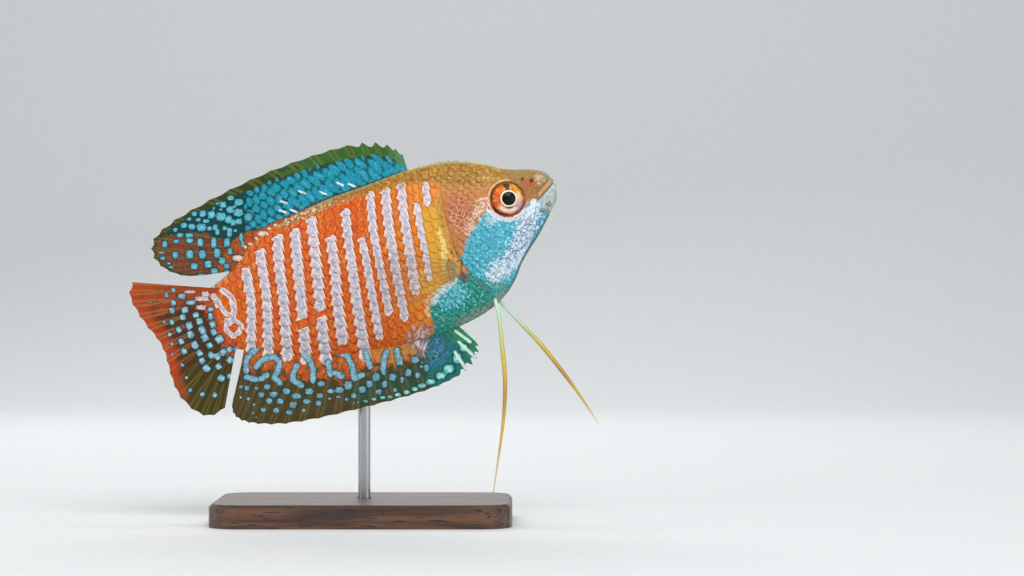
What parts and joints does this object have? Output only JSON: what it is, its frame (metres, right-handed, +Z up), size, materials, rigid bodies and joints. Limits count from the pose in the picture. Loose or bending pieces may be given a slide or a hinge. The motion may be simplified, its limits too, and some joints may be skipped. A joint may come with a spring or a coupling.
{
  "type": "dwarf gourami display model",
  "caption": "Life-size still model of a male dwarf gourami, nose up, with spread fins and thread-like feelers, held by a rod on a flat base for display.",
  "frame": {"origin": "centre of the base's underside, which is the bottom centre of the whole part", "axes": "+X along the base towards the fish's head, +Y across it to the fish's left, +Z up"},
  "size_m": [0.0923, 0.036, 0.0741],
  "materials": {
    "head_skin": "satin, painted like wet skin",
    "throat_skin": "satin, painted like wet skin",
    "flank_scales": "satin with slanting pale bars",
    "dorsal_fin": "satin, cells of blue",
    "anal_fin": "satin, pale blue spots",
    "tail_fin": "satin, pale blue spots",
    "clear_fin": "clear",
    "feeler": "satin",
    "eye": "glassy",
    "stand_wood": "dark satin varnish",
    "stand_steel": "brushed"
  },
  "bodies": {
    "root": {"head": "head_skin", "lower_jaw": "throat_skin", "trunk": "flank_scales", "tail_stalk": "flank_scales", "dorsal_fin": "dorsal_fin", "anal_fin": "anal_fin", "tail_fin": "tail_fin", "pectoral_fin_left": "clear_fin", "pectoral_fin_right": "clear_fin", "feeler_left": "feeler", "feeler_right": "feeler", "eye_left": "eye", "eye_right": "eye", "stand_base": "stand_wood", "stand_rod": "stand_steel"}
  },
  "joints": []
}
